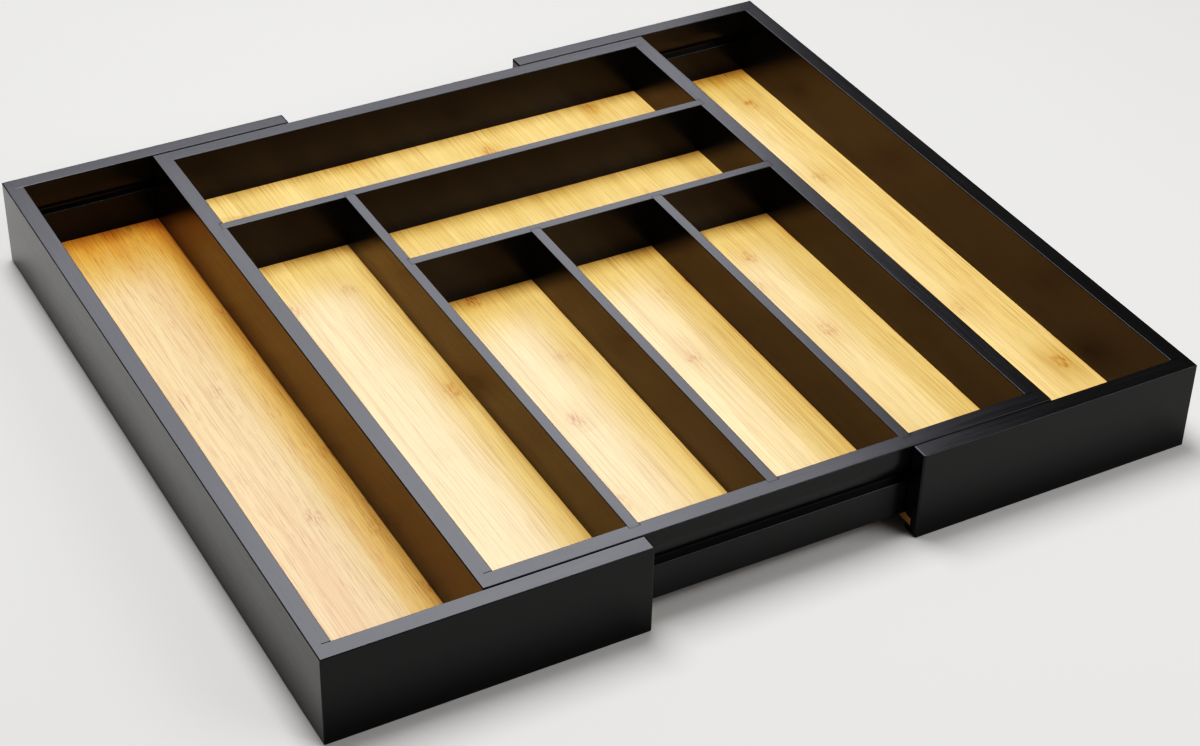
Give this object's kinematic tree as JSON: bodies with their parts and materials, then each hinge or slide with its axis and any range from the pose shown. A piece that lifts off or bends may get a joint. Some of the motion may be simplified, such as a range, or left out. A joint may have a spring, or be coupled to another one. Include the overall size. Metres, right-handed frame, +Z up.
{
  "type": "cutlery tray",
  "caption": "Expanding drawer tray for cutlery: a divided centre tray slides in two side wings that draw out to add compartments.",
  "frame": {"origin": "under the middle of the tray, on the surface that it stands on, with both wings drawn out", "axes": "+X to the right along the wings' travel, +Y to the back, +Z up"},
  "size_m": [0.475, 0.43, 0.05],
  "materials": {
    "black_bamboo": "satin black paint",
    "natural_bamboo": "clear lacquer"
  },
  "bodies": {
    "main_tray": {"main_front_wall": "black_bamboo", "main_back_wall": "black_bamboo", "main_left_wall": "black_bamboo", "main_right_wall": "black_bamboo", "main_floor": "natural_bamboo", "back_cross_divider": "black_bamboo", "middle_cross_divider": "black_bamboo", "long_divider": "black_bamboo", "short_divider_left": "black_bamboo", "short_divider_right": "black_bamboo", "main_front_left_key": "black_bamboo", "main_front_right_key": "black_bamboo", "main_back_left_key": "black_bamboo", "main_back_right_key": "black_bamboo"},
    "left_wing": {"left_wing_side_wall": "black_bamboo", "left_wing_front_wall": "black_bamboo", "left_wing_back_wall": "black_bamboo", "left_wing_floor": "natural_bamboo", "left_wing_front_key": "black_bamboo", "left_wing_back_key": "black_bamboo"},
    "right_wing": {"right_wing_side_wall": "black_bamboo", "right_wing_front_wall": "black_bamboo", "right_wing_back_wall": "black_bamboo", "right_wing_floor": "natural_bamboo", "right_wing_front_key": "black_bamboo", "right_wing_back_key": "black_bamboo"}
  },
  "joints": [
    {"name": "left_wing_slide", "type": "slide", "parent": "main_tray", "child": "left_wing", "axis": [1, 0, 0], "range_m": [0, 0.0725]},
    {"name": "right_wing_slide", "type": "slide", "parent": "main_tray", "child": "right_wing", "axis": [-1, 0, 0], "range_m": [0, 0.0725]}
  ]
}
